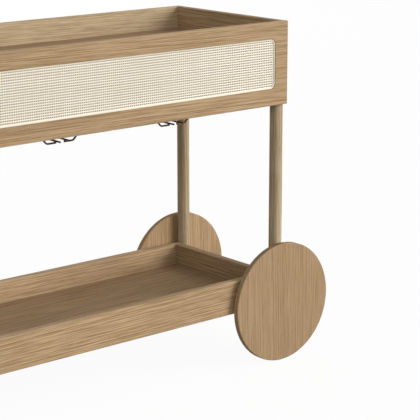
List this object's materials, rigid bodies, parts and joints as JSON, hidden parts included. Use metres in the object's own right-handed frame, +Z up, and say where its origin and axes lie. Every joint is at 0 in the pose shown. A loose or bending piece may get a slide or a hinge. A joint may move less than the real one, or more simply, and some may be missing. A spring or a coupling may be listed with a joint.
{
  "type": "bar cart",
  "caption": "Oak bar cart with a cane-panelled upper tray, a lower tray, round posts, wire stemware racks, two large plain disc wheels that turn on stub axles at one end, and two legs at the other.",
  "frame": {"origin": "on the floor under the middle of the whole cart, wheels included", "axes": "+X along the cart towards its wheels, -Y towards the front, +Z up"},
  "size_m": [1.0544, 0.397, 0.8],
  "materials": {
    "oak": "clear matt lacquer on straight-grained oak",
    "cane": "woven natural cane, unlacquered",
    "reed": "pale reed bead",
    "dark_wire": "dark bronze enamel",
    "steel": "zinc plated",
    "bush_bronze": "sintered bronze",
    "glide_nylon": "moulded nylon"
  },
  "bodies": {
    "frame": {"axle_bushes_back_right": "bush_bronze", "axle_bushes_front_right": "bush_bronze", "back_cane": "cane", "back_cane_spline": "reed", "front_cane": "cane", "front_cane_spline": "reed", "leg_glide_back_left": "glide_nylon", "leg_glide_front_left": "glide_nylon", "lower_back_panel": "oak", "lower_corner_dowels": "oak", "lower_floor": "oak", "lower_floor_cleats": "oak", "lower_front_panel": "oak", "lower_left_end": "oak", "lower_right_end": "oak", "post_back_left": "oak", "post_back_right": "oak", "post_front_left": "oak", "post_front_right": "oak", "post_studs": "steel", "rack_hangers_left": "dark_wire", "rack_hangers_right": "dark_wire", "rack_rails_left": "dark_wire", "rack_rails_right": "dark_wire", "rack_screws_left": "dark_wire", "rack_screws_right": "dark_wire", "tray_screws": "steel", "upper_back_panel": "oak", "upper_bottom": "oak", "upper_bottom_cleats": "oak", "upper_corner_dowels": "oak", "upper_floor": "oak", "upper_floor_cleats": "oak", "upper_front_panel": "oak", "upper_left_end": "oak", "upper_right_end": "oak"},
    "wheel_front_right": {"wheel_disc_front_right": "oak", "wheel_hub_front_right": "steel", "hub_screws_front_right": "steel", "axle_washer_front_right": "steel", "axle_nut_front_right": "steel"},
    "wheel_back_right": {"wheel_disc_back_right": "oak", "wheel_hub_back_right": "steel", "hub_screws_back_right": "steel", "axle_washer_back_right": "steel", "axle_nut_back_right": "steel"}
  },
  "joints": [
    {"name": "wheel_front_right_spin", "type": "hinge", "parent": "frame", "child": "wheel_front_right", "pos_m": [0.38575, -0.1845, 0.1415], "axis": [0, 1, 0], "continuous": true},
    {"name": "wheel_back_right_spin", "type": "hinge", "parent": "frame", "child": "wheel_back_right", "pos_m": [0.38575, 0.1845, 0.1415], "axis": [0, 1, 0], "continuous": true}
  ]
}
